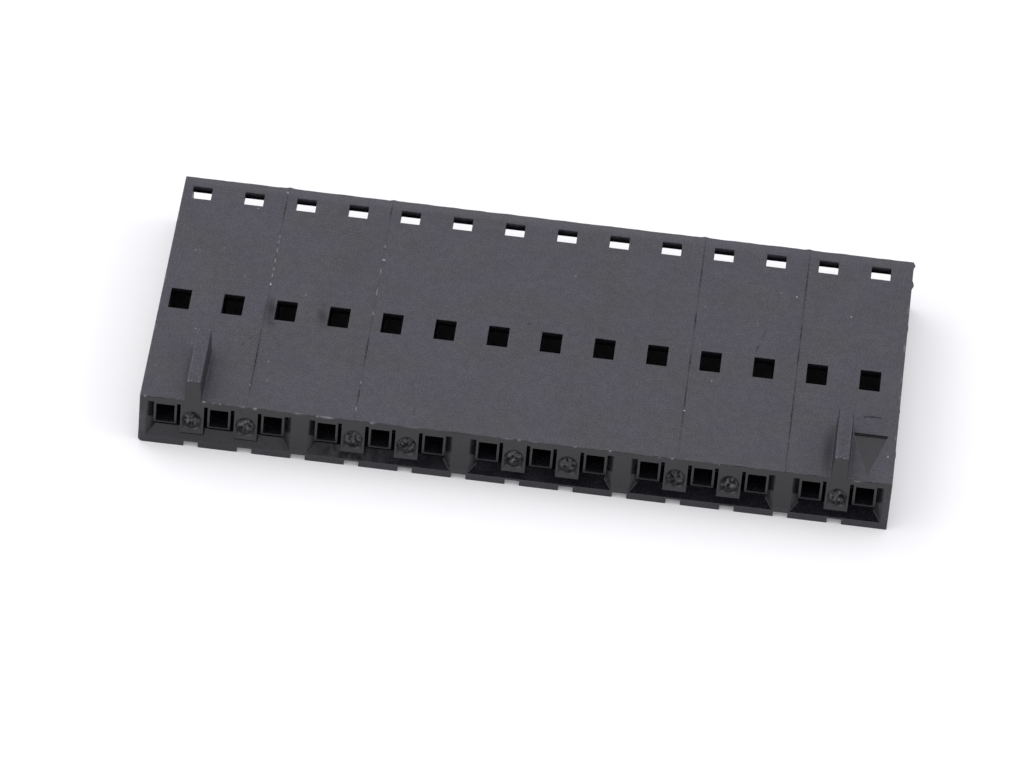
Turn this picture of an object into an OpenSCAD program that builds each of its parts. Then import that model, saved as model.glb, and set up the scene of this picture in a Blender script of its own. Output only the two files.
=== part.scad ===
// Single-row crimp terminal housing, moulded in one piece.
// The contact row runs along X, the mating face looks to -Y, the wire entries to +Y.
// It stands on its grooved underside at Z = 0, centred on X = 0 and Y = 0.

/* [Body] */
// Number of contacts in the row
contacts = 14; // [4:1:24]
// Distance between neighbouring contacts
pitch = 2.54; // [2.4:0.01:3.2]
// Width taken off the full row, so that housings stack end to end
row_relief = 0.07; // [0:0.01:0.3]
// Length from the mating face to the wire-entry face
body_len = 16.2; // [13:0.1:22]
// Thickness from the underside to the top face
body_t = 2.88; // [2.3:0.02:3.6]
// Radius of the lower edge at the far end from contact 1
corner_r = 0.25; // [0.05:0.05:0.4]

/* [Terminal cavities] */
// Width of the wire chamber, open at the rear
wire_chamber_w = 1.8; // [1.4:0.02:1.9]
// Step on each side where it narrows to the contact chamber in front of it
chamber_step = 0.07; // [0.02:0.01:0.15]
// Wall between the end chambers and the row's ends
chamber_end_wall = 0.44; // [0.3:0.02:0.6]
// Distance from the rear face to the step between the chambers
wire_chamber_len = 6; // [4:0.1:8]
// Wall over the chambers
top_wall = 0.39; // [0.2:0.01:0.5]
// Wall under the chambers, measured from the underside
floor_wall = 0.54; // [0.4:0.02:0.8]
// Solid nose between the mating face and the contact chamber
nose_len = 2.6; // [2:0.1:4]
// Lead-in chamfer round each wire entry
entry_chamfer = 0.12; // [0.04:0.02:0.2]

/* [Windows and rear slots] */
// Sideways offset of the windows and slots from the contact centres
opening_shift = -0.3; // [-0.3:0.05:0.3]
// Width of a locking window, across the row
window_w = 0.98; // [0.7:0.02:1.2]
// Length of a locking window, front to rear
window_len = 1.42; // [1:0.02:2]
// Distance from the mating face to the centre of the windows
window_from_front = 7.17; // [5:0.01:8.5]
// Width of a rear slot, across the row
slot_w = 0.94; // [0.7:0.02:1.2]
// Length of a rear slot, front to rear
slot_len = 0.9; // [0.7:0.02:1.4]
// Distance from the rear face to the centre of the slots
slot_from_rear = 1.14; // [0.9:0.02:2]

/* [Mating face] */
// Width of a pin mouth
mouth_w = 0.86; // [0.7:0.02:1.04]
// Height of a pin mouth
mouth_h = 1.04; // [0.7:0.02:1.2]
// Depth of the mouths' centre line below the top face
mouth_drop = 0.95; // [0.75:0.02:1.1]
// Wall of the tube round each mouth
tube_wall = 0.12; // [0.08:0.01:0.16]
// Height of the solid band over the pockets
top_band = 0.32; // [0.2:0.02:0.36]
// Contacts that share one pocket
group_size = 3; // [2:1:4]
// Wall between two neighbouring pockets
group_wall = 0.75; // [0.5:0.01:0.9]
// Wall between the end pockets and the row's ends
end_wall = 0.31; // [0.2:0.01:0.34]
// Height of the lip under the pockets, at the mating face
lip_h = 0.37; // [0.35:0.01:0.5]
// Depth of the pockets behind the mating face
pocket_depth = 1.7; // [1:0.1:1.9]
// Lead-in chamfer at both ends of each pocket
pocket_chamfer = 0.38; // [0.1:0.01:0.4]
// Lead-in chamfer along the foot of each pocket
foot_chamfer = 0.49; // [0.1:0.01:0.5]
// Width of the blocks that stand between the tubes
block_w = 1.12; // [0.9:0.01:1.14]
// Depth of the blocks' lower edge below the top face
block_drop = 2.04; // [1.7:0.02:2.1]
// Diameter of the ejector pin mark on each block
ejector_d = 1; // [0.6:0.05:1]
// Depth of the ejector pin marks' centres below the top face
ejector_drop = 1.2; // [1:0.02:1.24]
// Depth of the ejector pin marks behind the mating face
ejector_depth = 0.03; // [0.01:0.01:0.1]

/* [Ribs and contact 1 mark] */
// Width of a polarising rib at its top
rib_w = 0.66; // [0.4:0.02:0.9]
// Length of a rib from the mating face to its rear end
rib_len = 3.9; // [2:0.1:6]
// Height of a rib over the top face
rib_h = 1.2; // [0.4:0.05:1.5]
// Draft of a rib's sides
rib_draft = 4; // [0:0.5:8]
// Width of the triangular contact 1 mark
mark_w = 1.63; // [1:0.01:1.7]
// Length of the mark
mark_len = 2.9; // [1.5:0.05:3.2]
// Distance from the mating face to the mark's tip
mark_from_front = 0.45; // [0.3:0.05:1]
// Depth of the mark
mark_depth = 0.1; // [0.04:0.01:0.2]

/* [Underside] */
// Width of the grooves between the contacts
groove_w = 0.68; // [0.4:0.02:0.9]
// Depth of the grooves
groove_depth = 0.29; // [0.1:0.01:0.35]

/* [Hidden] */
over = 0.5;
round_fn = 48;
body_w = contacts * pitch - row_relief;
front_y = -body_len / 2;
rear_y = body_len / 2;
groups = ceil(contacts / group_size);
tube_w = mouth_w + 2 * tube_wall;
tube_drop = mouth_drop + mouth_h / 2 + tube_wall;
contact_chamber_w = wire_chamber_w - 2 * chamber_step;
chamber_h = body_t - top_wall - floor_wall;

function contact_x(i) = (i - (contacts - 1) / 2) * pitch;
function between_x(i) = contact_x(i) + pitch / 2;
function chamber_left(i, w) = max(contact_x(i) - w / 2, chamber_end_wall - body_w / 2);
function chamber_right(i, w) = min(contact_x(i) + w / 2, body_w / 2 - chamber_end_wall);
function first_in(g) = g * group_size;
function last_in(g) = min(contacts, (g + 1) * group_size) - 1;
function pocket_left(g) = g == 0 ? end_wall - body_w / 2 : between_x(first_in(g) - 1) + group_wall / 2;
function pocket_right(g) = g == groups - 1 ? body_w / 2 - end_wall : between_x(last_in(g)) - group_wall / 2;

// Box from x0 to x1, from y0 to y1 and from z0 to z1
module span(x0, x1, y0, y1, z0, z1) {
    translate([x0, y0, z0]) cube([x1 - x0, y1 - y0, z1 - z0]);
}

// The same, centred on x
module bar(x, w, y0, y1, z0, z1) {
    span(x - w / 2, x + w / 2, y0, y1, z0, z1);
}

// Plain body, rounded along its lower edge at the far end from contact 1
module body() {
    difference() {
        bar(0, body_w, front_y, rear_y, 0, body_t);
        lower_edge_round();
    }
}

// What the rounding of that edge takes away
module lower_edge_round() {
    length = body_len + over;
    translate([corner_r - body_w / 2, 0, corner_r]) difference() {
        translate([-corner_r, 0, -corner_r])
            cube([2 * corner_r, length, 2 * corner_r], center = true);
        rotate([90, 0, 0]) cylinder(r = corner_r, h = length + over, center = true, $fn = round_fn);
    }
}

// Two chambers in line for one terminal, with a chamfered mouth at the rear
module cavity(i) {
    chamber(i, contact_chamber_w, front_y + nose_len, rear_y);
    chamber(i, wire_chamber_w, rear_y - wire_chamber_len, rear_y + over);
    entry_lead_in(i);
}

// One chamber behind contact i. The row's end walls make the two end chambers narrower.
module chamber(i, w, y0, y1) {
    span(chamber_left(i, w), chamber_right(i, w), y0, y1, floor_wall, body_t - top_wall);
}

// Funnel whose four chamfers meet in mitres at the mouth of a wire chamber
module entry_lead_in(i) {
    left = chamber_left(i, wire_chamber_w);
    right = chamber_right(i, wire_chamber_w);
    flare = entry_chamfer + over;
    translate([(left + right) / 2, rear_y, floor_wall + chamber_h / 2]) intersection() {
        linear_extrude(height = chamber_h + 2 * flare, center = true)
            lead_in_outline(right - left, flare);
        rotate([0, 90, 0]) linear_extrude(height = right - left + 2 * flare, center = true)
            lead_in_outline(chamber_h, flare);
    }
}

module lead_in_outline(w, flare) {
    polygon([
        [-w / 2, -entry_chamfer],
        [w / 2, -entry_chamfer],
        [w / 2 + flare, flare - entry_chamfer],
        [-w / 2 - flare, flare - entry_chamfer]
    ]);
}

// Opening through the top wall into the chamber behind contact i, never past that chamber's sides
module top_opening(i, chamber_w, y, w, len) {
    x = contact_x(i) + opening_shift;
    left = max(x - w / 2, chamber_left(i, chamber_w));
    right = min(x + w / 2, chamber_right(i, chamber_w));
    span(left, right, y - len / 2, y + len / 2, body_t - top_wall - chamber_h / 2, body_t + over);
}

// Square hole from the mating face through the nose into the contact chamber
module mouth(x) {
    z = body_t - mouth_drop;
    bar(x, mouth_w, front_y - over, front_y + nose_len + over, z - mouth_h / 2, z + mouth_h / 2);
}

// Space that one pocket takes out of the nose, chamfered at both ends and along its foot
module pocket_space(g) {
    left = pocket_left(g);
    right = pocket_right(g);
    roof = body_t - top_band;
    c = pocket_chamfer;
    foot = foot_chamfer;
    intersection() {
        linear_extrude(height = body_t) polygon([
            [left - over, front_y - over],
            [left, front_y],
            [left + c, front_y + c],
            [left + c, front_y + pocket_depth],
            [right - c, front_y + pocket_depth],
            [right - c, front_y + c],
            [right, front_y],
            [right + over, front_y - over]
        ]);
        translate([left - over, 0, 0]) rotate([90, 0, 90])
            linear_extrude(height = right - left + 2 * over) polygon([
                [front_y - over, lip_h - over],
                [front_y, lip_h],
                [front_y + foot, lip_h + foot],
                [front_y + pocket_depth, lip_h + foot],
                [front_y + pocket_depth, roof],
                [front_y - over, roof]
            ]);
    }
}

// Pocket with the tubes and the blocks between them left standing in it
module pocket(g) {
    back_y = front_y + pocket_depth + over;
    difference() {
        pocket_space(g);
        for (i = [first_in(g) : last_in(g)])
            bar(contact_x(i), tube_w, front_y, back_y, body_t - tube_drop, body_t);
        for (i = [first_in(g) : 1 : last_in(g) - 1]) {
            bar(between_x(i), block_w, front_y, back_y, body_t - block_drop, body_t);
            bar(between_x(i), block_w, front_y + foot_chamfer, back_y, lip_h, body_t);
        }
    }
}

// Straight rib with drafted sides, rooted in the top wall and flush with the mating face
module rib(x) {
    root = rib_h + top_wall / 2;
    spread = root * tan(rib_draft);
    translate([x, front_y + rib_len, body_t + rib_h]) rotate([90, 0, 0])
        linear_extrude(height = rib_len) polygon([
            [-rib_w / 2, 0],
            [-rib_w / 2 - spread, -root],
            [rib_w / 2 + spread, -root],
            [rib_w / 2, 0]
        ]);
}

// Shallow round dent that an ejector pin leaves in the face of a block
module ejector_mark(x) {
    translate([x, front_y + ejector_depth, body_t - ejector_drop]) rotate([90, 0, 0])
        cylinder(d = ejector_d, h = ejector_depth + over, $fn = round_fn);
}

// Recessed triangle over contact 1, its tip towards the mating face
module contact_mark() {
    tip_y = front_y + mark_from_front;
    translate([contact_x(contacts - 1), 0, body_t - mark_depth]) linear_extrude(height = mark_depth + over)
        polygon([[0, tip_y], [mark_w / 2, tip_y + mark_len], [-mark_w / 2, tip_y + mark_len]]);
}

// Groove along the underside between two contacts
module groove(x) {
    bar(x, groove_w, front_y - over, rear_y + over, -over, groove_depth);
}

module housing() {
    color([0.17, 0.17, 0.18]) difference() {
        union() {
            body();
            rib(between_x(0));
            rib(between_x(contacts - 2));
        }
        for (g = [0 : groups - 1]) {
            pocket(g);
            for (i = [first_in(g) : 1 : last_in(g) - 1]) ejector_mark(between_x(i));
        }
        for (i = [0 : contacts - 1]) {
            mouth(contact_x(i));
            cavity(i);
            top_opening(i, contact_chamber_w, front_y + window_from_front, window_w, window_len);
            top_opening(i, wire_chamber_w, rear_y - slot_from_rear, slot_w, slot_len);
        }
        for (i = [0 : contacts - 2]) groove(between_x(i));
        contact_mark();
    }
}

housing();
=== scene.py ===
import math

import bmesh
import bpy
from mathutils import Matrix, Vector, noise


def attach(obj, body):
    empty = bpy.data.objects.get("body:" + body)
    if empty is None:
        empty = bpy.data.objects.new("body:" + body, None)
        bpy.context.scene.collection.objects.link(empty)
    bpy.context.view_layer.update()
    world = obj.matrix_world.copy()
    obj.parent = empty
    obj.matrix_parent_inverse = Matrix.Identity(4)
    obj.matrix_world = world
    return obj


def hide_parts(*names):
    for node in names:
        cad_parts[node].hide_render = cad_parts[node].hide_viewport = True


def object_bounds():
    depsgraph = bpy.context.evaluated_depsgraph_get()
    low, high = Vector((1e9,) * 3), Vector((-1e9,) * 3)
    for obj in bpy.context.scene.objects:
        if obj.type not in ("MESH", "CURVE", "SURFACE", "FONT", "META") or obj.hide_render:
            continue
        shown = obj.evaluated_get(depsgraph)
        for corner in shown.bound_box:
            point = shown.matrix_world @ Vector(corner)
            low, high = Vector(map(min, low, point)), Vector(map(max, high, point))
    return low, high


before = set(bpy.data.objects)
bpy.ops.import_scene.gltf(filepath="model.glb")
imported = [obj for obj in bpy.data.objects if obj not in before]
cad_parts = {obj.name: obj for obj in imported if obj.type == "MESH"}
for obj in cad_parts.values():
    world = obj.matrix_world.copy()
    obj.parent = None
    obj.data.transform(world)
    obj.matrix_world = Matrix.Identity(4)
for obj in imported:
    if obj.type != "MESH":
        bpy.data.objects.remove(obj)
cad_low, cad_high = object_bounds()


# ---- Moulding --------------------------------------------------------------------------------------
# The whole housing is one injection moulding of black glass-filled plastic. Cavity, slides and core
# pins shape it in one shot, so it has no joint or seam of its own, and nearly every edge has the small
# radius that the tool leaves.

mm = 0.001
contacts = 14
pitch = 2.54 * mm
front_y = cad_low.y
rear_y = cad_high.y
end_x = cad_high.x
top_z = 2.88 * mm
rib_top_z = cad_high.z
rib_x = (contacts / 2 - 1) * pitch
rib_rear_y = front_y + 3.9 * mm
rib_reach = 0.45 * mm
mark_y = front_y + 2 * mm
window_y = front_y + 7.17 * mm
slot_y = rear_y - 1.14 * mm
mouth_z = top_z - 0.95 * mm
tube_low_z = top_z - 1.59 * mm
pocket_low_z = 0.6 * mm
ceiling_z = top_z - 0.39 * mm
mark_floor_z = top_z - 0.1 * mm
dent_y = front_y + 0.03 * mm

outer_radius = 0.05 * mm
inner_radius = 0.03 * mm
rib_radius = 0.07 * mm
rib_corner_radius = 0.14 * mm
mark_radius = 0.015 * mm
tube_low_radius = 0.08 * mm
bevel_width = 0.1 * mm
hair = 0.001 * mm


def near(a, b, reach=0.005 * mm):
    return abs(a - b) < reach


def edge_place(edge):
    return (edge.verts[0].co + edge.verts[1].co) / 2


def on_cut(edge):
    """Whether an edge lies on one of the planes that split the faces through their openings."""
    place = edge_place(edge)
    if near(place.y, dent_y) and edge.calc_length() > 0.2 * mm:
        return False
    ends = [vert.co for vert in edge.verts]
    for level in (mark_y, window_y, slot_y):
        if all(near(end.y, level, hair) for end in ends):
            return True
    for level in (mouth_z, pocket_low_z):
        if all(near(end.z, level, hair) for end in ends):
            return True
    return False


def rounding(edge):
    """Radius that the tool leaves on an edge; the ceilings of the cavities have none."""
    place = edge_place(edge)
    x, y, z = abs(place.x), place.y, place.z
    if z > top_z + inner_radius:
        upright = abs(edge.verts[0].co.z - edge.verts[1].co.z) > mm
        return rib_corner_radius if upright and near(y, rib_rear_y) else rib_radius
    if near(z, top_z) and abs(x - rib_x) < rib_reach and y < rib_rear_y + 0.1 * mm:
        return inner_radius
    if near(z, top_z) and (near(y, front_y) or near(y, rear_y) or near(x, end_x)):
        return outer_radius
    if near(x, end_x) or near(y, rear_y) and near(z, 0):
        return outer_radius
    beside_mark = place.x > rib_x + rib_reach and front_y + 0.2 * mm < y < front_y + 3.5 * mm
    if beside_mark and z > mark_floor_z - 0.01 * mm:
        return mark_radius
    if near(z, ceiling_z) and y > front_y + 2 * mm:
        return 0.0
    if near(y, front_y) and near(z, tube_low_z) and edge.calc_length() > mm:
        return tube_low_radius
    return inner_radius


def sharp(edge):
    """Whether an edge is a corner of the tool, which leaves a radius; a dent's rim stays crisp."""
    at_dent_rim = near(edge_place(edge).y, front_y, 0.04 * mm) and edge.calc_length() < 0.08 * mm
    return edge.calc_face_angle() > math.radians(25) and not at_dent_rim


moulding = bmesh.new()
moulding.from_mesh(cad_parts["housing"].data)
bmesh.ops.remove_doubles(moulding, verts=moulding.verts, dist=hair)
# Cuts through the rows of openings, so that no face has a hole in it when its edges are rounded.
for place, across in (
    ((0, mark_y, 0), (0, 1, 0)),
    ((0, window_y, 0), (0, 1, 0)),
    ((0, slot_y, 0), (0, 1, 0)),
    ((0, 0, mouth_z), (0, 0, 1)),
    ((0, 0, pocket_low_z), (0, 0, 1)),
):
    everything = moulding.verts[:] + moulding.edges[:] + moulding.faces[:]
    bmesh.ops.bisect_plane(
        moulding, geom=everything, dist=0.1 * hair, plane_co=place, plane_no=across
    )
flat = [e for e in moulding.edges if e.calc_face_angle() < math.radians(1) and not on_cut(e)]
bmesh.ops.dissolve_edges(moulding, edges=flat, use_verts=True, use_face_split=False)
weights = moulding.edges.layers.float.new("bevel_weight_edge")
for edge in moulding.edges:
    if sharp(edge):
        edge[weights] = rounding(edge) / bevel_width

rough_mesh = bpy.data.meshes.new("square_edges")
moulding.to_mesh(rough_mesh)
rough = bpy.data.objects.new("square_edges", rough_mesh)
bpy.context.scene.collection.objects.link(rough)
rounded = rough.modifiers.new("rounded_edges", "BEVEL")
rounded.limit_method = "WEIGHT"
rounded.width = bevel_width
rounded.segments = 3
rounded.use_clamp_overlap = False
rounded.harden_normals = False
graph = bpy.context.evaluated_depsgraph_get()
housing_mesh = bpy.data.meshes.new_from_object(rough.evaluated_get(graph))
housing_mesh.name = "housing_moulding"
bpy.data.objects.remove(rough)
moulding = bmesh.new()
moulding.from_mesh(housing_mesh)


# ---- Insert lines and long edges -------------------------------------------------------------------
# The cavity is closed by five steel inserts side by side, and each joint between two of them leaves
# a witness line along the top face: a shallow crease, with short burrs where the joint is worn.
# The long top edges have taken small dents and are never quite straight.

line_half_width = 0.035 * mm
crease_depth = 0.02 * mm
burr_height = 0.022 * mm
step_along_line = 0.12 * mm
step_along_edge = 0.22 * mm
edge_wander = 0.02 * mm
nib_reach = 0.07 * mm
round_margin = 0.004 * mm
# Flash at contact 1's end: its place back from the mating face, how far it stands out and its
# half length, in mm.
end_nibs = [
    (15.95, 0.09, 0.16), (14.5, 0.16, 0.13), (11.3, 0.03, 0.2), (5.2, 0.03, 0.15), (2.1, 0.03, 0.2),
]
line_places = [-5 * pitch, -3 * pitch, 3 * pitch, 5 * pitch]
# Burrs along each line: their places back from the mating face and their half lengths, in mm.
burrs = {
    0: [
        (9.0, 0.15), (9.6, 0.25), (10.1, 0.2), (10.7, 0.3),
        (11.5, 0.3), (12.1, 0.2), (12.5, 0.2), (15.8, 0.15),
    ],
    1: [(0.8, 0.25), (2.7, 0.15), (7.7, 0.2), (9.3, 0.45), (10.8, 0.4), (11.7, 0.15), (12.7, 0.2)],
    2: [(2.2, 0.1), (3.5, 0.12)],
    3: [(15.9, 0.15)],
}


def wander(x, y, z, scale, seed):
    """Smooth unevenness between about -1 and 1 with lumps of the given size."""
    return noise.noise(Vector((x / scale + 31.7 * seed, y / scale + 17.3 * seed, z / scale)))


def ladder(form, edges, step):
    """Cuts long parallel edges into even steps."""
    for edge in edges:
        cuts = round(edge.calc_length() / step) - 1
        if cuts > 0 and edge.is_valid:
            edge.tag = True
    for cuts in sorted({round(edge.calc_length() / step) - 1 for edge in edges}):
        same = [e for e in form.edges if e.tag and round(e.calc_length() / step) - 1 == cuts]
        for edge in same:
            edge.tag = False
        if cuts > 0 and same:
            bmesh.ops.subdivide_edges(form, edges=same, cuts=cuts, use_grid_fill=False)


def runs_along(edge, axis):
    run = edge.verts[1].co - edge.verts[0].co
    return abs(run[axis]) > 0.999 * run.length and run.length > 0.8 * mm


def at_round_height(place):
    return top_z - outer_radius * 1.02 < place.z < top_z + hair


def in_long_edge(place):
    """Whether a place lies in the rounding of the top face's front or rear edge."""
    at_rear = place.y > rear_y - outer_radius * 1.02
    at_front = place.y < front_y + outer_radius * 1.02
    return (at_rear or at_front) and at_round_height(place)


def in_end_edge(place):
    """Whether a place lies in the rounding of the top face's edge at one end of the row."""
    return abs(place.x) > end_x - outer_radius * 1.02 and at_round_height(place)


for edge in moulding.edges:
    edge.tag = False
long_edges = [e for e in moulding.edges if runs_along(e, 0) and in_long_edge(edge_place(e))]
ladder(moulding, long_edges, step_along_edge)
for end in (-1, 1):
    end_edges = [e for e in moulding.edges if runs_along(e, 1) and in_end_edge(edge_place(e))]
    ladder(moulding, [e for e in end_edges if edge_place(e).x * end > 0], step_along_edge)
for vert in moulding.verts:
    x, y, z = vert.co
    if z > top_z - round_margin:
        continue
    lumps = wander(x, y, 0, 0.9 * mm, 1) + 0.6 * wander(x, y, 0, 0.3 * mm, 2)
    inside_round = front_y + round_margin < y < rear_y - round_margin
    if in_long_edge(vert.co) and inside_round and abs(abs(x) - rib_x) > rib_reach:
        vert.co += Vector((0, math.copysign(1, y), 1)).normalized() * edge_wander * lumps
    elif in_end_edge(vert.co) and inside_round and abs(x) < end_x - round_margin:
        vert.co += Vector((math.copysign(1, x), 0, 1)).normalized() * edge_wander * lumps
        for nib_y, reach, half in end_nibs:
            if x > 0:
                vert.co.x += reach * mm * math.exp(-((y - front_y - nib_y * mm) / (half * mm)) ** 2)

for number, line_x in enumerate(line_places):
    for side in (-1, 0, 1):
        tops = [
            f for f in moulding.faces
            if f.normal.z > 0.999 and near(f.calc_center_median().z, top_z)
        ]
        sheet = {v for f in tops for v in f.verts} | {e for f in tops for e in f.edges} | set(tops)
        bmesh.ops.bisect_plane(
            moulding, geom=list(sheet), dist=0.1 * hair,
            plane_co=(line_x + side * line_half_width, 0, 0), plane_no=(1, 0, 0),
        )
    for edge in moulding.edges:
        edge.tag = False
    strips = [
        e for e in moulding.edges
        if near(edge_place(e).z, top_z, hair)
        and abs(edge_place(e).x - line_x) < line_half_width * 1.01
        and abs(e.verts[0].co.x - e.verts[1].co.x) < hair
        and e.calc_length() > 0.3 * mm
    ]
    ladder(moulding, strips, step_along_line)
    for vert in moulding.verts:
        x, y, z = vert.co
        on_line = near(z, top_z, hair) and near(x, line_x, hair)
        if on_line and front_y + 0.1 * mm < y < rear_y - 0.1 * mm:
            run = y - front_y
            lift = -crease_depth * (0.8 + 0.5 * wander(x, y, 0, 0.5 * mm, 3))
            for burr_y, reach in burrs[number]:
                if abs(run - burr_y * mm) < reach * mm:
                    lift = burr_height * (0.8 + 0.6 * wander(x, y, 0, 0.2 * mm, 4))
            vert.co.z += lift
    rear_round = [
        v for v in moulding.verts
        if v.co.y > rear_y - outer_radius and in_long_edge(v.co) and v.co.z < top_z - round_margin
    ]
    nearest = min(abs(v.co.x - line_x) for v in rear_round)
    for vert in rear_round:
        if abs(vert.co.x - line_x) < nearest + 0.01 * mm:
            vert.co.y += nib_reach


# ---- Ejector pin marks -----------------------------------------------------------------------------
# Nine ejector pins push the moulding out by the blocks of the mating face. Each leaves a shallow
# round dent with a pressed rim, and torn, crumbly plastic inside it, different in every mark.

dent_narrowing = 0.95
dent_raising = 1.12
dent_reach = 0.51 * mm
dent_floor_reach = 0.485 * mm
dent_ring_radii = [0.475 * mm, 0.43 * mm, 0.37 * mm, 0.3 * mm, 0.23 * mm, 0.16 * mm, 0.08 * mm]
dent_relief = 0.045 * mm
dent_rim_radius = 0.43 * mm
dent_rim_width = 0.07 * mm
dent_rim_depth = 0.03 * mm


def round_floor(face):
    """Whether a face is the round floor of a dent."""
    centre = face.calc_center_median()
    return near(centre.y, dent_y) and face.normal.y < -0.99 and len(face.verts) > 20


torn_and_dimmed = moulding.verts.layers.float.new("torn_and_dimmed")
for face in [f for f in moulding.faces if round_floor(f)]:
    centre = face.calc_center_bounds()
    around = [
        v for v in moulding.verts
        if v.co.y < dent_y + 0.005 * mm
        and math.hypot(v.co.x - centre.x, v.co.z - centre.z) < dent_reach
    ]
    about_centre = Matrix.Translation(-centre)
    oval = (dent_narrowing, 1, dent_raising)
    bmesh.ops.scale(moulding, vec=oval, verts=around, space=about_centre)
    for ring_radius in dent_ring_radii:
        size = max(abs(v.co.x - centre.x) for v in face.verts)
        bmesh.ops.inset_region(moulding, faces=[face], thickness=0, use_boundary=True)
        shrink = [dent_narrowing * ring_radius / size] * 3
        bmesh.ops.scale(moulding, vec=shrink, verts=face.verts, space=about_centre)
    bmesh.ops.poke(moulding, faces=[face])
    for vert in moulding.verts:
        x, y, z = vert.co
        from_centre = math.hypot((x - centre.x) / dent_narrowing, (z - centre.z) / dent_raising)
        if not near(y, dent_y) or from_centre > dent_floor_reach:
            continue
        crumbs = wander(x, 0, z * 0.7, 0.115 * mm, 5) + 0.7 * wander(x, 0, z * 0.8, 0.07 * mm, 6)
        rim = math.exp(-((from_centre - dent_rim_radius) / dent_rim_width) ** 2)
        vert.co.y += dent_relief * crumbs * (1 - rim) + dent_rim_depth * rim
        pressed = rim * (0.75 + 0.5 * wander(x, 0, z, 0.3 * mm, 7))
        vert[torn_and_dimmed] = max(-1.0, min(1.0, -0.22 - 1.9 * crumbs * (1 - rim) - 0.6 * pressed))


# ---- Finish of the moulding ------------------------------------------------------------------------
# The cavity is spark-eroded, so the outside of the body is finely grained and a little grey. The
# mating face and the contact 1 mark come from ground steel and are smoother and blacker, and the
# sloped feet of the pockets from polished steel. The strip of the mating face at the far end is made
# greyer and rougher than the one at contact 1's end: painted light, for the light that falls on that
# end. The lower lips of the mouths have their reflection turned down so that they render dim: painted
# shade.

lip_painted_shade = -0.55
skin = 0.06 * mm
end_strip = 0.31 * mm
full_grain = 1.0
far_end_grain_and_light = 0.6
border_grain = 0.3
foot_polish = -0.7

# Painted shade: the lower lips of the mouths get a dimmer reflection.
for vert in moulding.verts:
    over_low_wall = vert.co.z - tube_low_z
    if vert.co.y < front_y + 0.12 * mm and -0.01 * mm < over_low_wall < 0.16 * mm:
        vert[torn_and_dimmed] = min(vert[torn_and_dimmed], lip_painted_shade)
for face in moulding.faces:
    face.smooth = True
grained = moulding.faces.layers.float.new("grained")
for face in moulding.faces:
    place = face.calc_center_median()
    tilt = face.normal
    on_top = tilt.z > 0.7 and place.z > top_z - skin
    on_end = abs(tilt.x) > 0.7 and abs(place.x) > end_x - skin
    on_rear = tilt.y > 0.7 and place.y > rear_y - skin
    on_floor = tilt.z < -0.7 and place.z < 0.01 * mm
    beside_rib = place.x > rib_x + rib_reach and place.y < front_y + 5.5 * mm
    in_mark = beside_rib and place.z > top_z - 0.2 * mm
    in_window = abs(place.y - window_y) < 0.9 * mm and place.z > ceiling_z
    behind_face = place.y > front_y + 1.9 * mm and place.z < top_z - 0.03 * mm
    within = behind_face and not in_mark and not in_window
    on_front = tilt.y < -0.7 and place.y < front_y + 0.04 * mm
    on_foot = tilt.y < -0.6 and tilt.z > 0.6 and front_y + 0.04 * mm < place.y < front_y + 0.5 * mm
    if on_top or on_end or on_rear or on_floor or within:
        face[grained] = full_grain
    # Painted light: the far end's strip of the mating face is greyer than the one at contact 1's end,
    # for the light that falls on that end.
    elif on_front and place.x < -end_x + end_strip:
        face[grained] = far_end_grain_and_light
    elif on_front and (place.x > end_x - end_strip or place.z < 0.4 * mm):
        face[grained] = border_grain
    elif on_foot and place.z < 0.9 * mm:
        face[grained] = foot_polish
moulding.to_mesh(housing_mesh)
housing = bpy.data.objects.new("housing_moulding", housing_mesh)
bpy.context.scene.collection.objects.link(housing)
shading = housing.modifiers.new("flat_faces", "WEIGHTED_NORMAL")
shading.weight = 100

plastic = bpy.data.materials.new("black_plastic")
plastic.use_nodes = True
nodes, links = plastic.node_tree.nodes, plastic.node_tree.links
shader = nodes["Principled BSDF"]
where = nodes.new("ShaderNodeTexCoord").outputs["Object"]


def math_node(kind, a, b, clamp=False):
    node = nodes.new("ShaderNodeMath")
    node.operation = kind
    node.use_clamp = clamp
    for socket, value in zip(node.inputs, (a, b)):
        if isinstance(value, (int, float)):
            socket.default_value = value
        else:
            links.new(value, socket)
    return node.outputs[0]


def unevenness(size, detail=2.0, stretch=(1, 1, 1)):
    """Noise about 0.5 whose lumps are size metres across."""
    placed = nodes.new("ShaderNodeMapping")
    placed.inputs["Scale"].default_value = [k / size for k in stretch]
    links.new(where, placed.inputs["Vector"])
    node = nodes.new("ShaderNodeTexNoise")
    node.inputs["Scale"].default_value = 1.0
    node.inputs["Detail"].default_value = detail
    links.new(placed.outputs[0], node.inputs["Vector"])
    return node.outputs["Fac"]


def spread(value, low, high, to_low, to_high):
    """Carries a range of values over to another one, with soft ends."""
    node = nodes.new("ShaderNodeMapRange")
    node.interpolation_type = "SMOOTHSTEP"
    links.new(value, node.inputs["Value"])
    for name, number in (("From Min", low), ("From Max", high), ("To Min", to_low), ("To Max", to_high)):
        node.inputs[name].default_value = number
    return node.outputs[0]


def vector_node(kind, *values):
    node = nodes.new("ShaderNodeVectorMath")
    node.operation = kind
    for socket, value in zip(node.inputs, values):
        if isinstance(value, tuple):
            socket.default_value = value
        else:
            links.new(value, socket)
    return node.outputs["Value"] if kind == "LENGTH" else node.outputs["Vector"]


# One passed-on place serves all the patches below.
place_in_body = vector_node("ADD", where, (0.0, 0.0, 0.0))
patch_depth = 0.15


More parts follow.
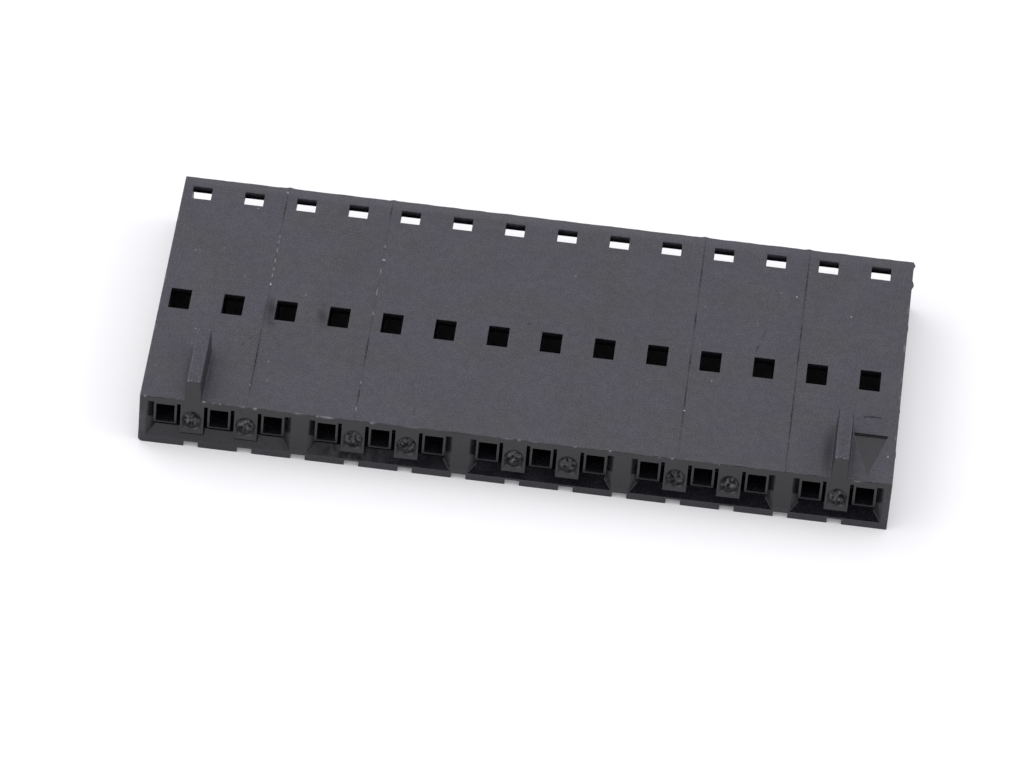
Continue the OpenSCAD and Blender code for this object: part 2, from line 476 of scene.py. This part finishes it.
def patch(x, y, half_x, half_y, strength, turn=0.0, level=top_z):
    """Mask of an oval on the top face at x, y (mm from the middle and from the mating face)."""
    at = place_in_body
    centre = (x * mm, front_y + y * mm, level)
    if turn:
        turned = nodes.new("ShaderNodeVectorRotate")
        turned.rotation_type = "Z_AXIS"
        turned.inputs["Center"].default_value = centre
        turned.inputs["Angle"].default_value = -math.radians(turn)
        links.new(at, turned.inputs["Vector"])
        at = turned.outputs[0]
    zoom = tuple(1 / (half * mm) for half in (half_x, half_y, patch_depth))
    shift = tuple(-c * k for c, k in zip(centre, zoom))
    from_middle = vector_node("LENGTH", vector_node("MULTIPLY_ADD", at, zoom, shift))
    return spread(from_middle, 0.0, 1.0, strength, 0.0)


def all_patches(places):
    total = None
    for place in places:
        mask = patch(*place)
        total = mask if total is None else math_node("ADD", total, mask)
    return total


# Each entry below is one patch: its place along the row of contacts and back from the mating face,
# its two half lengths (all in mm) and its strength, then, where it needs them, its turn in degrees
# and the height of the face that it lies on.
# Smudges, streaks and dots darken the top face. The four long strips beside the feet of the two ribs, at
# about ±14.7 and ±15.75 mm, are painted shade along the ribs. The two on the rib tops darken them.
smudges_and_shade = [
    (-12.45, 7.0, 0.62, 1.2, 0.5), (-12.35, 6.1, 0.4, 0.8, 0.25, 10), (-9.9, 6.9, 0.62, 1.0, 0.4),
    (-9.95, 8.0, 0.3, 0.4, 0.25), (-9.0, 11.5, 1.3, 2.9, 0.10, 15), (-9.9, 15.0, 0.6, 0.6, 0.14, -35),
    (-5.15, 2.4, 0.25, 1.3, 0.14, 5), (-5.3, 1.7, 0.22, 0.5, 0.14), (-0.2, 8.3, 0.16, 0.2, 0.5),
    (3.2, 8.5, 0.26, 0.24, 0.28), (4.9, 8.3, 0.1, 0.26, 0.4, 20), (-6.5, 6.25, 0.16, 0.1, 0.3),
    (-11.8, 4.7, 0.14, 0.5, 0.2, 25), (7.9, 2.2, 0.35, 0.12, 0.2, -25), (4.3, 14.4, 1.1, 0.8, 0.05),
    (16.5, 4.58, 0.62, 0.12, 0.85, 2), (16.15, 4.5, 0.14, 0.12, 0.6), (16.85, 4.55, 0.12, 0.12, 0.6),
    (15.86, 4.35, 0.08, 0.3, 0.35, -20), (17.14, 4.4, 0.08, 0.25, 0.35, 20),
    (15.75, 2.0, 0.25, 2.3, 0.3), (14.6, 1.9, 0.48, 2.7, 0.5), (-14.73, 2.0, 0.22, 2.3, 0.3),
    (-15.75, 2.0, 0.22, 2.3, 0.25), (15.24, 1.6, 0.5, 2.6, 0.2, 0, rib_top_z),
    (15.24, 0.1, 0.4, 0.16, 0.4, 0, rib_top_z),
    (-15.24, 1.6, 0.5, 2.6, 0.1, 0, rib_top_z), (-15.5, 3.2, 0.1, 0.3, 0.3, 0, rib_top_z),
    (12.0, 4.7, 0.3, 0.2, 0.15), (16.45, 12.8, 0.8, 1.0, 0.04), (-14.05, 4.0, 0.18, 0.3, 0.16),
    (-12.5, 7.6, 0.3, 1.1, 0.3, 8), (-12.1, 6.2, 0.8, 0.12, 0.25, 10), (-10.05, 7.4, 0.3, 0.9, 0.25, 5),
    (-14.9, 5.15, 0.08, 0.08, 0.4), (-14.2, 5.3, 0.08, 0.09, 0.35), (-11.55, 3.55, 0.07, 0.08, 0.5),
    (-7.4, 3.1, 0.07, 0.07, 0.5), (-16.9, 6.2, 0.07, 0.08, 0.4), (-9.6, 4.4, 0.08, 0.07, 0.3),
    (-6.3, 12.9, 0.5, 0.7, 0.12, 30), (2.6, 11.8, 0.07, 0.07, 0.4), (9.9, 3.3, 0.07, 0.08, 0.35),
]
scratches = [
    (-13.45, 4.45, 0.06, 0.36, 0.61, -28), (-13.12, 4.95, 0.06, 0.3, 0.58, -38),
    (-12.82, 5.25, 0.054, 0.22, 0.54, -35), (10.72, 8.5, 0.084, 0.55, 0.61, -12),
    (10.95, 9.6, 0.06, 0.8, 0.47, -14), (11.3, 10.6, 0.048, 0.5, 0.36, -16),
    (0.9, 5.1, 0.048, 0.3, 0.22, -20), (5.1, 2.6, 0.072, 1.1, 0.18, 2),
    (-4.9, 1.1, 0.06, 0.6, 0.29, -6),
]
# Pale dust specks on the top face. The specks at the front and rear ends of the rib tops are painted
# highlights on their edges, and the wide faint band along the rear edge is a painted glow.
dust_specks_and_highlights = [
    (-12.75, 15.85, 0.06, 0.07, 0.9), (-12.7, 8.95, 0.07, 0.08, 1.0), (-7.55, 11.7, 0.08, 0.08, 1.1),
    (7.65, 3.45, 0.07, 0.09, 1.1), (12.3, 12.6, 0.06, 0.1, 0.9), (15.0, 11.6, 0.07, 0.09, 0.8),
    (17.4, 1.9, 0.07, 0.09, 0.9), (-14.0, 14.4, 0.06, 0.07, 0.7), (-10.95, 8.5, 0.06, 0.07, 0.4),
    (-15.8, 5.15, 0.06, 0.07, 0.6), (-15.85, 4.1, 0.05, 0.05, 0.5), (-12.1, 3.4, 0.06, 0.1, 0.4),
    (-12.0, 2.05, 0.07, 0.09, 0.3), (-16.55, 10.8, 0.06, 0.08, 0.4), (-16.35, 10.8, 0.05, 0.07, 0.35),
    (-15.2, 11.2, 0.04, 0.05, 0.45), (-14.0, 9.35, 0.06, 0.07, 0.5), (-17.3, 2.2, 0.07, 0.07, 0.35),
    (-12.75, 1.6, 0.05, 0.07, 0.6), (1.65, 12.2, 0.07, 0.12, 0.35), (8.75, 5.8, 0.05, 0.12, 0.4),
    (10.6, 10.3, 0.05, 0.06, 0.4), (7.62, 2.15, 0.04, 0.05, 0.5), (11.55, 12.75, 0.08, 0.08, 0.3),
    (8.0, 11.1, 0.04, 0.16, 0.2, -30), (-13.05, 2.9, 0.04, 0.07, 0.3), (0.0, 16.0, 40.0, 0.6, 0.05),
    (15.0, 0.12, 0.05, 0.07, 0.5, 0, rib_top_z), (15.18, 0.18, 0.06, 0.05, 0.4, 0, rib_top_z),
    (15.36, 0.1, 0.07, 0.06, 0.55, 0, rib_top_z), (15.5, 0.16, 0.04, 0.05, 0.4, 0, rib_top_z),
    (-15.5, 0.05, 0.06, 0.05, 0.5, 0, rib_top_z), (-15.02, 0.07, 0.05, 0.05, 0.45, 0, rib_top_z),
    (-15.48, 3.75, 0.05, 0.08, 0.3, 0, rib_top_z), (-15.0, 3.8, 0.05, 0.06, 0.25, 0, rib_top_z),
]
# Paler patches along the front, rear and end edges of the top face: part wear, part painted highlight on
# their rounded edges.
edge_wear_and_highlights = [
    (-8.9, 0, 0.5, 0.068, 0.8), (-6.75, 0, 0.2, 0.068, 0.7), (-12.3, 0, 0.16, 0.075, 0.61),
    (-12.9, 0.02, 0.3, 0.045, 0.35), (-10.3, 0.02, 0.3, 0.045, 0.31), (-9.35, 0, 0.14, 0.068, 0.53),
    (-4.9, 0.02, 0.7, 0.04, 0.27), (-0.4, 0.02, 0.4, 0.04, 0.27), (0.17, 0.02, 0.16, 0.053, 0.45),
    (0.9, 0.02, 0.2, 0.04, 0.31), (2.8, 0.02, 0.15, 0.045, 0.45), (4.45, 0.02, 0.1, 0.068, 0.61),
    (6.78, -0.03, 0.08, 0.075, 0.88), (7.38, 0.02, 0.14, 0.053, 0.53), (9.6, -0.03, 0.07, 0.075, 0.88),
    (16.1, 0, 0.35, 0.045, 0.45), (-17.5, 0, 0.1, 0.075, 0.53), (-14.72, 0.05, 0.12, 0.075, 0.7),
    (-14.3, 0.02, 0.1, 0.06, 0.45), (-13.95, 0.02, 0.07, 0.06, 0.39),
    (17.68, 9.8, 0.07, 0.5, 0.35), (17.68, 7.5, 0.06, 0.3, 0.3), (17.68, 6.2, 0.06, 0.25, 0.35),
    (17.68, 12.6, 0.06, 0.4, 0.25), (17.68, 3.3, 0.06, 0.3, 0.3), (-17.68, 13.0, 0.06, 0.3, 0.25),
    (-17.68, 8.6, 0.06, 0.4, 0.25), (-17.68, 5.0, 0.06, 0.3, 0.2), (-15.0, 16.15, 0.8, 0.05, 0.25),
    (-6.0, 16.15, 1.2, 0.05, 0.2), (2.0, 16.15, 1.5, 0.05, 0.25), (9.5, 16.15, 1.2, 0.05, 0.25),
    (15.5, 16.15, 1.0, 0.05, 0.2),
]
# Darker patches along the front edge of the top face.
edge_darkening = [
    (-3.1, 0.02, 0.9, 0.07, 0.45), (5.1, 0.02, 0.45, 0.06, 0.35), (11.5, 0.0, 0.9, 0.05, 0.2),
    (-7.5, 0.02, 0.3, 0.05, 0.2), (13.9, 0.0, 0.5, 0.05, 0.2),
]
# Painted shade in the creases of the insert lines: dark dashes, and a faint dark line along the whole of
# each.
line_crease_shade = [
    (-12.7, 3.4, 0.081, 3.6, 0.68), (-12.7, 14.6, 0.074, 1.3, 0.59), (-7.62, 5.1, 0.081, 1.5, 0.68),
    (-7.62, 1.8, 0.081, 0.9, 0.68), (-7.62, 15.3, 0.074, 1.0, 0.51), (7.62, 9.9, 0.081, 1.2, 0.68),
    (7.62, 7.0, 0.081, 1.0, 0.68), (7.62, 13.6, 0.074, 2.9, 0.51), (7.62, 4.0, 0.074, 2.6, 0.51),
    (12.7, 8.3, 0.088, 1.0, 0.68), (12.7, 10.0, 0.081, 0.9, 0.68), (12.7, 13.6, 0.074, 2.9, 0.51),
    (12.7, 4.0, 0.074, 4.4, 0.54),
    (-12.7, 8.1, 0.07, 40.0, 0.3), (-7.62, 8.1, 0.07, 40.0, 0.3), (7.62, 8.1, 0.07, 40.0, 0.36),
    (12.7, 8.1, 0.07, 40.0, 0.36),
]
# Painted highlights on the burrs of the two insert lines towards the far end.
burr_highlights = [
    (line_places[number] / mm, burr_y, 0.05, reach, 0.6)
    for number in (0, 1) for burr_y, reach in burrs[number]
]

flags = nodes.new("ShaderNodeAttribute")
flags.attribute_name = "grained"
grain_mask = flags.outputs["Fac"]
broad = spread(unevenness(2.2 * mm, 2.0), 0.3, 0.7, 0.93, 1.07)
middling = spread(unevenness(0.4 * mm, 2.0), 0.3, 0.7, 0.88, 1.12)
grain = unevenness(0.09 * mm, 2.0)
grain_tone = spread(grain, 0.3, 0.7, 0.6, 1.4)
broken = spread(unevenness(0.16 * mm, 1.0), 0.35, 0.6, 0.55, 1.0)
tone = math_node("MULTIPLY", math_node("MULTIPLY", broad, middling), grain_tone)
# The colour is darkened by smudges, scratches, darker patches on the front edge and painted shade beside
# the ribs and in the insert-line creases. It is lightened by dust, wear, and painted highlights and
# glow.
dark = math_node("ADD", all_patches(smudges_and_shade), all_patches(scratches))
broken_shade_and_darkening = math_node("MULTIPLY", all_patches(line_crease_shade + edge_darkening), broken)
dark = math_node("ADD", dark, broken_shade_and_darkening)
pale = all_patches(dust_specks_and_highlights)
broken_wear_and_highlights = math_node("MULTIPLY", all_patches(edge_wear_and_highlights + burr_highlights), broken)
light = math_node("ADD", pale, broken_wear_and_highlights)
kept = math_node("SUBTRACT", 1.0, math_node("MULTIPLY", dark, 1.0, clamp=True))


def blend_colours(factor, first, second):
    node = nodes.new("ShaderNodeMixRGB")
    for socket, value in zip(node.inputs, (factor, first, second)):
        if isinstance(value, tuple):
            socket.default_value = value
        else:
            links.new(value, socket)
    return node.outputs[0]


def scale_colour(colour, factor):
    node = nodes.new("ShaderNodeVectorMath")
    node.operation = "SCALE"
    links.new(colour, node.inputs[0])
    links.new(factor, node.inputs["Scale"])
    return node.outputs[0]


smooth_black = (0.0095, 0.0093, 0.0120, 1)
grey_grained = (0.0340, 0.0338, 0.0388, 1)
violet_grained = (0.0332, 0.0318, 0.0438, 1)
# Pale colour that dust, wear, torn crumbs and the painted highlights and glow are blended towards.
dust_and_highlight_colour = (0.32, 0.32, 0.33, 1)
tint = spread(unevenness(2.4 * mm, 1.0), 0.3, 0.7, 0.0, 1.0)
torn_and_dimmed_place = nodes.new("ShaderNodeAttribute")
torn_and_dimmed_place.attribute_name = "torn_and_dimmed"
torn_and_lip_dimming = spread(torn_and_dimmed_place.outputs["Fac"], -1.0, 0.0, 0.0, 1.0)
torn_light = spread(torn_and_dimmed_place.outputs["Fac"], 0.1, 0.8, 0.0, 0.26)
torn_light = math_node("MULTIPLY", torn_light, spread(unevenness(0.07 * mm, 1.0), 0.4, 0.6, 0.15, 1.0))
ground = blend_colours(grain_mask, smooth_black, blend_colours(tint, grey_grained, violet_grained))
ground = scale_colour(scale_colour(ground, tone), kept)
coloured = blend_colours(math_node("ADD", light, torn_light, clamp=True), ground, dust_and_highlight_colour)
links.new(coloured, shader.inputs["Base Color"])
# The reflection is turned down where the colour is darkened and in the torn dents. On the lower lips of
# the mouths it is turned down as painted shade.
shine = math_node("MULTIPLY", spread(kept, 0.0, 1.0, 0.2, 0.5), torn_and_lip_dimming)
links.new(shine, shader.inputs["Specular IOR Level"])
finish = math_node("ADD", math_node("MULTIPLY", grain_mask, 0.25), 0.27)
finish = math_node("ADD", finish, spread(unevenness(1.1 * mm, 3.0), 0.3, 0.7, -0.03, 0.03))
links.new(finish, shader.inputs["Roughness"])
relief = nodes.new("ShaderNodeBump")
relief.inputs["Strength"].default_value = 1.0
relief.inputs["Distance"].default_value = 0.004 * mm
grain_height = math_node("ADD", math_node("MULTIPLY", grain_mask, 0.85), 0.15, clamp=True)
height = math_node("MULTIPLY", grain, grain_height)
polished = math_node("MULTIPLY", grain_mask, -1.0, clamp=True)
height = math_node("ADD", height, math_node("MULTIPLY", polished, unevenness(0.5 * mm, 1.0)))
links.new(height, relief.inputs["Height"])
links.new(relief.outputs[0], shader.inputs["Normal"])
housing_mesh.materials.clear()
housing_mesh.materials.append(plastic)

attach(housing, "root")
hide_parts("housing")


# ---- Table, light and camera -----------------------------------------------------------------------
# A white table top carries the housing in a plain white room, with a few large soft lamps. The camera
# looks down on the mating face and the top face together. A black disc behind it stands for its body
# and whoever holds it, which the polished feet of the pockets mirror.

table_mesh = bpy.data.meshes.new("table")
table_form = bmesh.new()
bmesh.ops.create_grid(table_form, x_segments=1, y_segments=1, size=1.5)
table_form.to_mesh(table_mesh)
table = bpy.data.objects.new("table", table_mesh)
bpy.context.scene.collection.objects.link(table)
white = bpy.data.materials.new("white_table")
white.use_nodes = True
table_mesh.materials.append(white)
paint = white.node_tree.nodes["Principled BSDF"]
paint.inputs["Base Color"].default_value = (0.8, 0.8, 0.8, 1)
paint.inputs["Roughness"].default_value = 0.9
paint.inputs["Emission Color"].default_value = (1, 1, 1, 1)


def seen_strength(tree, plain, seen):
    """Strength that is `seen` for camera, glossy and transmission rays, and `plain` for the others."""
    ray = tree.nodes.new("ShaderNodeLightPath")
    total = ray.outputs["Is Camera Ray"]
    for name in ("Is Glossy Ray", "Is Transmission Ray"):
        either = tree.nodes.new("ShaderNodeMath")
        either.operation = "MAXIMUM"
        tree.links.new(total, either.inputs[0])
        tree.links.new(ray.outputs[name], either.inputs[1])
        total = either.outputs[0]
    strength = tree.nodes.new("ShaderNodeMath")
    strength.operation = "MULTIPLY_ADD"
    tree.links.new(total, strength.inputs[0])
    strength.inputs[1].default_value = seen - plain
    strength.inputs[2].default_value = plain
    return strength.outputs[0]


table_glow = seen_strength(white.node_tree, 0.0, 0.135)
white.node_tree.links.new(table_glow, paint.inputs["Emission Strength"])

world = bpy.data.worlds.new("studio")
bpy.context.scene.world = world
world.use_nodes = True
world.node_tree.nodes["Background"].inputs["Color"].default_value = (0.985, 0.975, 1.03, 1)
sky_strength = seen_strength(world.node_tree, 0.85, 1.0)
world.node_tree.links.new(sky_strength, world.node_tree.nodes["Background"].inputs["Strength"])

lamp_distance = 0.9
lamp_size = 0.6
for name, turn, height_angle, brightness in (
    ("top_lamp", 0, 90, 1.1),
    ("rear_lamp", -130, 40, 1.3),
    ("left_lamp", -88, 35, 1.0),
    ("front_left_lamp", -52, 35, 0.75),
    ("right_lamp", 88, 35, 1.5),
):
    turn, height_angle = math.radians(turn), math.radians(height_angle)
    place = Vector((
        math.sin(turn) * math.cos(height_angle),
        -math.cos(turn) * math.cos(height_angle),
        math.sin(height_angle),
    ))
    light = bpy.data.lights.new(name, "AREA")
    light.shape = "DISK"
    light.size = lamp_size
    light.energy = brightness * math.pi * math.pi * (lamp_size / 2) ** 2
    lamp = bpy.data.objects.new(name, light)
    lamp.location = place * lamp_distance
    lamp.rotation_mode = "QUATERNION"
    lamp.rotation_quaternion = (-place).to_track_quat("-Z", "Y")
    bpy.context.scene.collection.objects.link(lamp)

aim = Vector((-0.57 * mm, front_y + 3.88 * mm, top_z))
azimuth, elevation, roll = math.radians(2.46), math.radians(41.41), math.radians(5.18)
distance = 0.3604
sight = Vector((
    -math.sin(azimuth) * math.cos(elevation),
    math.cos(azimuth) * math.cos(elevation),
    -math.sin(elevation),
))
camera_data = bpy.data.cameras.new("camera")
camera_data.lens = 268.6
camera_data.sensor_width = 36
camera_data.clip_start = 0.01
camera = bpy.data.objects.new("camera", camera_data)
camera.location = aim - sight * distance
camera.rotation_mode = "QUATERNION"
level_turn = sight.to_track_quat("-Z", "Y")
camera.rotation_quaternion = level_turn @ Matrix.Rotation(roll, 3, "Z").to_quaternion()
bpy.context.scene.collection.objects.link(camera)
bpy.context.scene.camera = camera

body_turn, body_height, body_distance = math.radians(12.5), math.radians(48), 0.37
toward_body = Vector((
    math.sin(body_turn) * math.cos(body_height),
    -math.cos(body_turn) * math.cos(body_height),
    math.sin(body_height),
))
body_form = bmesh.new()
bmesh.ops.create_circle(body_form, cap_ends=True, segments=48, radius=84 * mm)
facing = toward_body.to_track_quat("Z", "Y").to_matrix().to_4x4()
behind = Matrix.Translation(aim + toward_body * body_distance) @ facing
bmesh.ops.transform(body_form, matrix=behind, verts=body_form.verts)
body_mesh = bpy.data.meshes.new("camera_body")
body_form.to_mesh(body_mesh)
camera_body = bpy.data.objects.new("camera_body", body_mesh)
bpy.context.scene.collection.objects.link(camera_body)
camera_body.visible_camera = False
camera_body.visible_diffuse = False
camera_body.visible_shadow = False
black = bpy.data.materials.new("camera_black")
black.use_nodes = True
black.node_tree.nodes["Principled BSDF"].inputs["Base Color"].default_value = (0, 0, 0, 1)
black.node_tree.nodes["Principled BSDF"].inputs["Specular IOR Level"].default_value = 0
body_mesh.materials.append(black)
bpy.context.scene.view_settings.view_transform = "Standard"
